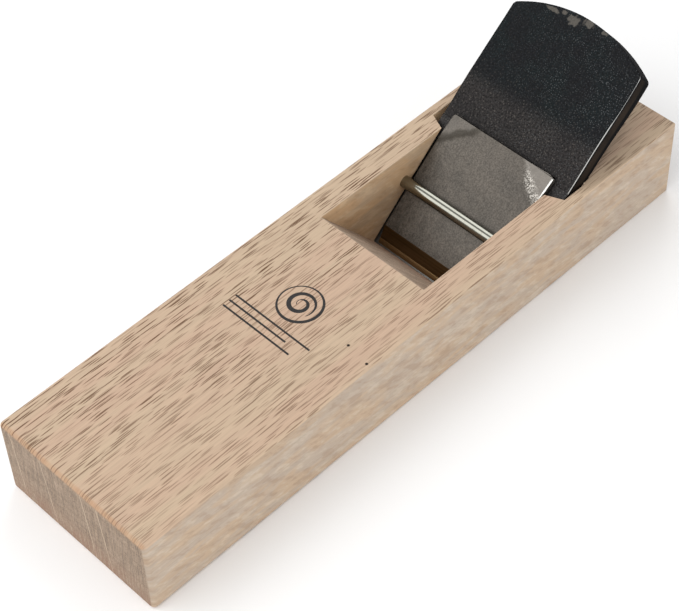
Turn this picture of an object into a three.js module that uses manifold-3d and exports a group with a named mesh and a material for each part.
// A Japanese smoothing plane (kanna): an oak block, a wedge-shaped laminated blade, the chip breaker
// that lies on the blade, and the steel pin that holds the chip breaker down.
// Millimetres. The origin is the centre of the sole, +X points to the leading end, +Z up from the sole.

import * as THREE from 'three';
import { mergeVertices } from 'three/addons/utils/BufferGeometryUtils.js';
import { RoundedBoxGeometry } from 'three/addons/geometries/RoundedBoxGeometry.js';
import Module from 'manifold-3d';

const wasm = await Module();
wasm.setup();

const degree = Math.PI / 180;

// Oak block
const blockLength = 275;
const blockWidth = 76;
const blockHeight = 37;
const blockEdgeRadius = 2; // at the leading end, from where the arrises grow crisper
const blockRearRadius = 0.5; // at the other end
const blockEdgeSteps = 4;

// Throat: the opening for the shavings, from the top face down to the mouth in the sole
const throatWidth = 52.8;
const throatFrontX = -7.5;
const mouthKneeHeight = 1.9; // below it the front wall runs parallel to the blade's face
const mouthGap = 1; // between that wall and the blade's face

// Blade. Its own frame starts where its face crosses the top of the block: x runs down the blade
// towards the cutting edge, y across it, and z stands off its face.
const bladePitch = 39.6 * degree;
const bladeTopX = -79.3;
const bladeShiftY = 0.25;
const bladeWidth = 65;
const bladeHeadWidth = 63.4;
const bladeThickness = 7.9; // where the face crosses the top of the block
const bladeTaper = 2.6 * degree;
const bladeHeadLength = 60; // from that crossing up to the crown of the head
const headArcRise = 8.4;
const headCornerCut = 0.8;
const edgeAboveSole = 0.3;
const bevelAngle = 28 * degree;
const cuttingEdgeWidth = 52;
const cornerTrim = 6.5;
const bedGap = 0.1;

// Hard steel, forge-welded on the blade's face, with a shallow ground hollow
const steelThickness = 2;
const steelTopX = -0.5;
const steelScarf = 3;
const weldGap = 0.05;
const hollowDepth = 0.35;
const hollowFromX = 6;
const hollowToEdge = 4;
const hollowWidth = 54;
const hollowRadius = 12;

// Side grooves that hold the blade's edges. In plan their front walls slant back and outwards.
const grooveHalfWidth = 33.7;
const grooveFrontX = -76.7;
const grooveSlant = 3.1; // how much further forward the wall is at the throat than at its outer end
const groovePitch = 41.8 * degree;
const bedHalfWidth = 33;
const bedLedge = 2.2; // height above the bed of the narrower part of the groove

// Chip breaker. Its own frame starts at its lower tip, with the same directions as the blade's.
const breakerShiftY = 0.3;
const breakerWidth = 51;
const breakerLength = 58.7;
const breakerThickness = 2.9;
const breakerTilt = 1.27 * degree;
const breakerBehindEdge = 1.9;
const breakerBevel = 20 * degree;
const breakerLand = 0.15; // height of the blunt tip
const breakerCornerRadius = 1.2;
const breakerContactGap = 0.05;
const breakerSteelThickness = 0.9;
const breakerSteelLength = 24;
const earAcross = 14.5; // the bent corner, measured along the top edge
const earDown = 11.5; // and along the side
const earBend = 8 * degree;

// Pin across the throat, driven in from the -Y side and blind in the +Y cheek
const pinRadius = 2.5;
const pinHoleRadius = 2.56;
const pinDownBlade = 29.6;
const pinAboveBlade = 6.08;
const pinRecess = 1.2; // from the -Y side to the pin's end
const pinBlindDepth = 6.6; // of the hole, past the throat's wall
const pinEndGap = 0.4;
const pinEndChamfer = 0.4;
const roundSegments = 48;

const beyond = 5; // how far cutters run past the faces that they open
const blockTopZ = blockHeight;
const throatHalfWidth = throatWidth / 2;
const edgeX = (blockHeight - edgeAboveSole) / Math.sin(bladePitch);

// Manifold solid from any closed three.js geometry.
function solidOf(geometry) {
  const plain = new THREE.BufferGeometry();
  plain.setAttribute('position', geometry.getAttribute('position'));
  if (geometry.index) plain.setIndex(geometry.index);
  const merged = mergeVertices(plain, 1e-4);
  return new wasm.Manifold(new wasm.Mesh({
    numProp: 3,
    vertProperties: new Float32Array(merged.getAttribute('position').array),
    triVerts: new Uint32Array(merged.index.array),
  }));
}

function geometryOf(solid) {
  const mesh = solid.getMesh();
  const geometry = new THREE.BufferGeometry();
  geometry.setAttribute('position', new THREE.BufferAttribute(mesh.vertProperties, 3));
  geometry.setIndex(new THREE.BufferAttribute(mesh.triVerts, 1));
  geometry.computeVertexNormals();
  return geometry;
}

// The same solid in another place.
function moved(solid, matrix) {
  return solidOf(geometryOf(solid).applyMatrix4(matrix));
}

function outlineOf(points) {
  return new THREE.Shape(points.map(([x, y]) => new THREE.Vector2(x, y)));
}

// Side profile (x, z), extruded across Y between two positions.
function across(profile, fromY, toY) {
  const geometry = new THREE.ExtrudeGeometry(outlineOf(profile), { depth: toY - fromY, bevelEnabled: false });
  geometry.rotateX(Math.PI / 2);
  geometry.translate(0, toY, 0);
  return solidOf(geometry);
}

// Plan outline (x, y), extruded along Z between two heights.
function upright(outline, fromZ, toZ) {
  const geometry = new THREE.ExtrudeGeometry(outline, {
    depth: toZ - fromZ,
    bevelEnabled: false,
    curveSegments: roundSegments,
  });
  geometry.translate(0, 0, fromZ);
  return solidOf(geometry);
}

// Cross-section (y, z), extruded along X between two positions.
function lengthwise(section, fromX, toX) {
  const geometry = new THREE.ExtrudeGeometry(outlineOf(section), { depth: toX - fromX, bevelEnabled: false });
  const yzToWorld = new THREE.Matrix4().makeBasis(
    new THREE.Vector3(0, 1, 0),
    new THREE.Vector3(0, 0, 1),
    new THREE.Vector3(1, 0, 0),
  );
  geometry.applyMatrix4(yzToWorld);
  geometry.translate(fromX, 0, 0);
  return solidOf(geometry);
}

// A frame that leans on the block: x runs down and forwards at the pitch, z stands off the slope.
function leaningFrame(x, pitch) {
  const frame = new THREE.Matrix4().makeRotationY(pitch);
  return frame.setPosition(x, 0, blockTopZ);
}

function namedMesh(name, solid, colour, roughness, metalness) {
  const material = new THREE.MeshStandardMaterial({ color: colour, roughness, metalness });
  const mesh = new THREE.Mesh(geometryOf(solid), material);
  mesh.name = name;
  return mesh;
}

// Thickness of the blade at a place down its length.
function thicknessAt(x) {
  return bladeThickness - x * Math.tan(bladeTaper);
}

// Everything above the bed, or above a plane parallel to it, in the block's frame.
function aboveBed(height, halfWidth) {
  const upX = -blockHeight;
  const downX = edgeX + blockHeight;
  const far = blockLength;
  const profile = [
    [upX, -thicknessAt(upX) - bedGap + height],
    [downX, -thicknessAt(downX) - bedGap + height],
    [downX, far],
    [upX, far],
  ];
  return moved(across(profile, -halfWidth, halfWidth), leaningFrame(bladeTopX, bladePitch));
}

// Where the mouth's front wall stands at a height above the sole.
function mouthWallX(z) {
  return bladeTopX + (blockTopZ - z) / Math.tan(bladePitch) + mouthGap / Math.sin(bladePitch);
}

// The throat's front wall slopes down and back from the top face, and at the mouth it turns along the blade.
function throat() {
  const kneeX = mouthWallX(mouthKneeHeight);
  const slope = (throatFrontX - kneeX) / (blockTopZ - mouthKneeHeight);
  const rearX = -blockLength / 2;
  const profile = [
    [rearX, -beyond],
    [mouthWallX(-beyond), -beyond],
    [kneeX, mouthKneeHeight],
    [throatFrontX + slope * beyond, blockTopZ + beyond],
    [rearX, blockTopZ + beyond],
  ];
  const opening = across(profile, -throatHalfWidth, throatHalfWidth);
  return opening.intersect(aboveBed(0, throatHalfWidth));
}

// One side groove, as deep as outerY, on the side given by sign.
function sideGroove(sign, outerY, bedHeight) {
  const rise = (grooveSlant * Math.sin(groovePitch)) / (grooveHalfWidth - throatHalfWidth);
  const depth = blockHeight;
  const section = [
    [sign * throatHalfWidth, -depth],
    [sign * outerY, -depth],
    [sign * outerY, rise * (grooveHalfWidth - outerY)],
    [sign * throatHalfWidth, rise * (grooveHalfWidth - throatHalfWidth)],
  ];
  if (sign < 0) section.reverse();
  const length = blockHeight / Math.sin(groovePitch);
  const slot = lengthwise(section, -blockHeight, length + blockHeight);
  return moved(slot, leaningFrame(grooveFrontX, groovePitch)).intersect(aboveBed(bedHeight, outerY));
}

function pinPlace() {
  return new THREE.Vector3(pinDownBlade, 0, pinAboveBlade).applyMatrix4(leaningFrame(bladeTopX, bladePitch));
}

// Round bar along Y between two positions, with chamfered ends where a chamfer is given.
function barAcross(radius, fromY, toY, chamfer) {
  const profile = [
    new THREE.Vector2(0, fromY),
    new THREE.Vector2(radius - chamfer, fromY),
    new THREE.Vector2(radius, fromY + chamfer),
    new THREE.Vector2(radius, toY - chamfer),
    new THREE.Vector2(radius - chamfer, toY),
    new THREE.Vector2(0, toY),
  ];
  const bar = new THREE.LatheGeometry(profile, roundSegments);
  const place = pinPlace();
  bar.translate(place.x, 0, place.z);
  return solidOf(bar);
}

// The block before it is cut. Every vertex of the rounded box belongs to one of its eight corners, so
// the corners at the rear end shrink by drawing their vertices out towards the block's faces.
function easedBlock() {
  const box = new RoundedBoxGeometry(blockLength, blockWidth, blockHeight, blockEdgeSteps, blockEdgeRadius);
  const half = new THREE.Vector3(blockLength, blockWidth, blockHeight).divideScalar(2);
  const places = box.attributes.position;
  const place = new THREE.Vector3();
  for (let i = 0; i < places.count; i += 1) {
    place.fromBufferAttribute(places, i);
    const share = place.x > 0 ? 1 : blockRearRadius / blockEdgeRadius;
    for (const axis of ['x', 'y', 'z']) {
      const inset = half[axis] - Math.abs(place[axis]);
      place[axis] = Math.sign(place[axis]) * (half[axis] - share * inset);
    }
    places.setXYZ(i, place.x, place.y, place.z);
  }
  box.translate(0, 0, blockHeight / 2);
  return solidOf(box);
}

function daiBody() {
  let body = easedBlock().subtract(throat());
  for (const sign of [-1, 1]) {
    body = body.subtract(sideGroove(sign, bedHalfWidth, 0));
    body = body.subtract(sideGroove(sign, grooveHalfWidth, bedLedge));
  }
  const holeEnd = throatHalfWidth + pinBlindDepth;
  body = body.subtract(barAcross(pinHoleRadius, -blockWidth / 2 - beyond, holeEnd, 0.01));
  return namedMesh('dai_body', body, 0xd2b594, 0.75, 0);
}

function retainingPin() {
  const fromY = -blockWidth / 2 + pinRecess;
  const toY = throatHalfWidth + pinBlindDepth - pinEndGap;
  return namedMesh('retaining_pin', barAcross(pinRadius, fromY, toY, pinEndChamfer), 0xd8dad6, 0.15, 1);
}

// Outline of the blade seen square to its face, with the rounded head and the trimmed lower corners.
function bladeOutline() {
  const half = bladeWidth / 2;
  const halfHead = bladeHeadWidth / 2;
  const halfEdge = cuttingEdgeWidth / 2;
  const headCornerX = -(bladeHeadLength - headArcRise);
  const arcRadius = (halfHead ** 2 + headArcRise ** 2) / (2 * headArcRise);
  const arcAngle = Math.asin((halfHead - headCornerCut) / arcRadius);
  const outline = new THREE.Shape();
  outline.moveTo(edgeX, -halfEdge);
  outline.lineTo(edgeX, halfEdge);
  outline.lineTo(edgeX - cornerTrim, half);
  outline.lineTo(0, half);
  outline.lineTo(headCornerX + headCornerCut, halfHead);
  outline.absarc(arcRadius - bladeHeadLength, 0, arcRadius, Math.PI - arcAngle, Math.PI + arcAngle, false);
  outline.lineTo(headCornerX + headCornerCut, -halfHead);
  outline.lineTo(0, -half);
  outline.lineTo(edgeX - cornerTrim, -half);
  return outline;
}

// The whole wedge of the blade: face, tapered back and the bevel below the cutting edge.
function bladeWedge() {
  const reach = bladeHeadLength + 1;
  const bevelRun = thicknessAt(edgeX) / (Math.tan(bevelAngle) - Math.tan(bladeTaper));
  const heelX = edgeX - bevelRun;
  const profile = [
    [-reach, -thicknessAt(-reach)],
    [heelX, -thicknessAt(heelX)],
    [edgeX, 0],
    [-reach, 0],
  ];
  const wedge = across(profile, -bladeWidth, bladeWidth);
  const plan = upright(bladeOutline(), -2 * bladeThickness, beyond);
  return wedge.intersect(plan);
}

// The layer of hard steel on the blade's face, grown by a margin on its welded sides.
function steelLayer(margin) {
  const topX = steelTopX - margin;
  const depth = steelThickness + margin;
  const profile = [
    [topX, beyond],
    [topX, 0],
    [topX + steelScarf, -depth],
    [edgeX + beyond, -depth],
    [edgeX + beyond, beyond],
  ];
  return across(profile, -bladeWidth, bladeWidth);
}

// The hollow ground into the steel, a shallow pocket that stops short of the cutting edge.
function groundHollow() {
  const fromX = hollowFromX;
  const toX = edgeX - hollowToEdge;
  const half = hollowWidth / 2;
  const inset = half - hollowRadius;
  const outline = new THREE.Shape();
  outline.absarc(toX - hollowRadius, inset, hollowRadius, Math.PI / 2, 0, true);
  outline.absarc(toX - hollowRadius, -inset, hollowRadius, 0, -Math.PI / 2, true);
  outline.absarc(fromX + hollowRadius, -inset, hollowRadius, -Math.PI / 2, -Math.PI, true);
  outline.absarc(fromX + hollowRadius, inset, hollowRadius, Math.PI, Math.PI / 2, true);
  return upright(outline, -hollowDepth, beyond);
}

function bladeIron() {
  return namedMesh('blade_iron', bladeWedge().subtract(steelLayer(weldGap)), 0x2b2c2e, 0.6, 0.8);
}

function bladeSteel() {
  const steel = bladeWedge().intersect(steelLayer(0)).subtract(groundHollow());
  return namedMesh('blade_cutting_steel', steel, 0x9a9b9a, 0.3, 1);
}

// Everything above or below the plane of a bent ear. The plane tips down towards the blade from a
// crease across the plate's corner, which lies at the given height.
function besideEar(side, height, above) {
  const half = breakerWidth / 2;
  const creaseTop = new THREE.Vector3(-breakerLength, side * (half - earAcross), height);
  const creaseSide = new THREE.Vector3(-breakerLength + earDown, side * half, height);
  const crease = creaseSide.clone().sub(creaseTop).normalize();
  const size = 2 * blockLength;
  const region = new THREE.BoxGeometry(size, size, size);
  region.translate(0, 0, above ? size / 2 : -size / 2);
  region.applyMatrix4(new THREE.Matrix4().makeRotationAxis(crease, -side * earBend));
  region.translate(creaseTop.x, creaseTop.y, creaseTop.z);
  return solidOf(region);
}

// The plate's outline seen square to it, with rounded upper corners.
function breakerOutline() {
  const half = breakerWidth / 2;
  const cornerX = breakerCornerRadius - breakerLength;
  const cornerY = half - breakerCornerRadius;
  const outline = new THREE.Shape();
  outline.moveTo(0, -half);
  outline.lineTo(0, half);
  outline.absarc(cornerX, cornerY, breakerCornerRadius, Math.PI / 2, Math.PI, false);
  outline.absarc(cornerX, -cornerY, breakerCornerRadius, Math.PI, 1.5 * Math.PI, false);
  return outline;
}

// The chip breaker's plate, bevelled at the tip, with both upper corners bent down.
function breakerPlate() {
  const bevelRun = (breakerThickness - breakerLand) / Math.tan(breakerBevel);
  const profile = [
    [-2 * breakerLength, -beyond],
    [beyond, -beyond],
    [beyond, breakerLand - beyond * Math.tan(breakerBevel)],
    [-bevelRun, breakerThickness],
    [-2 * breakerLength, breakerThickness],
  ];
  let plate = across(profile, -breakerWidth, breakerWidth);
  plate = plate.intersect(upright(breakerOutline(), -beyond, 2 * beyond));
  const size = 2 * blockLength;
  let under = solidOf(new THREE.BoxGeometry(size, size, size).translate(0, 0, -size / 2));
  for (const side of [-1, 1]) {
    plate = plate.subtract(besideEar(side, breakerThickness, true));
    under = under.intersect(besideEar(side, 0, false));
  }
  return plate.subtract(under);
}

// The steel layer under the chip breaker's tip, grown by a margin on its welded sides.
function breakerSteelLayer(margin) {
  const top = breakerSteelThickness + margin;
  const rearX = -breakerSteelLength - margin;
  const profile = [
    [rearX, -beyond],
    [beyond, -beyond],
    [beyond, top],
    [rearX + breakerSteelThickness, top],
    [rearX, 0],
  ];
  return across(profile, -breakerWidth, breakerWidth);
}

function breakerIron() {
  const iron = breakerPlate().subtract(breakerSteelLayer(weldGap));
  return namedMesh('chip_breaker_iron', iron, 0x6f6c69, 0.45, 0.9);
}

function breakerSteel() {
  return namedMesh('chip_breaker_steel', breakerPlate().intersect(breakerSteelLayer(0)), 0x8d8a84, 0.3, 1);
}

function chipBreaker() {
  const breaker = new THREE.Group();
  breaker.add(breakerIron(), breakerSteel());
  breaker.rotation.y = breakerTilt;
  breaker.position.set(edgeX - breakerBehindEdge, breakerShiftY, breakerContactGap);
  return breaker;
}

function blade() {
  const iron = new THREE.Group();
  iron.add(bladeIron(), bladeSteel());
  iron.position.y = bladeShiftY;
  return iron;
}

const plane = new THREE.Group();
plane.add(daiBody(), retainingPin());
const leaning = new THREE.Group();
leaning.rotation.y = bladePitch;
leaning.position.set(bladeTopX, 0, blockTopZ);
leaning.add(blade(), chipBreaker());
plane.add(leaning);

export default plane;
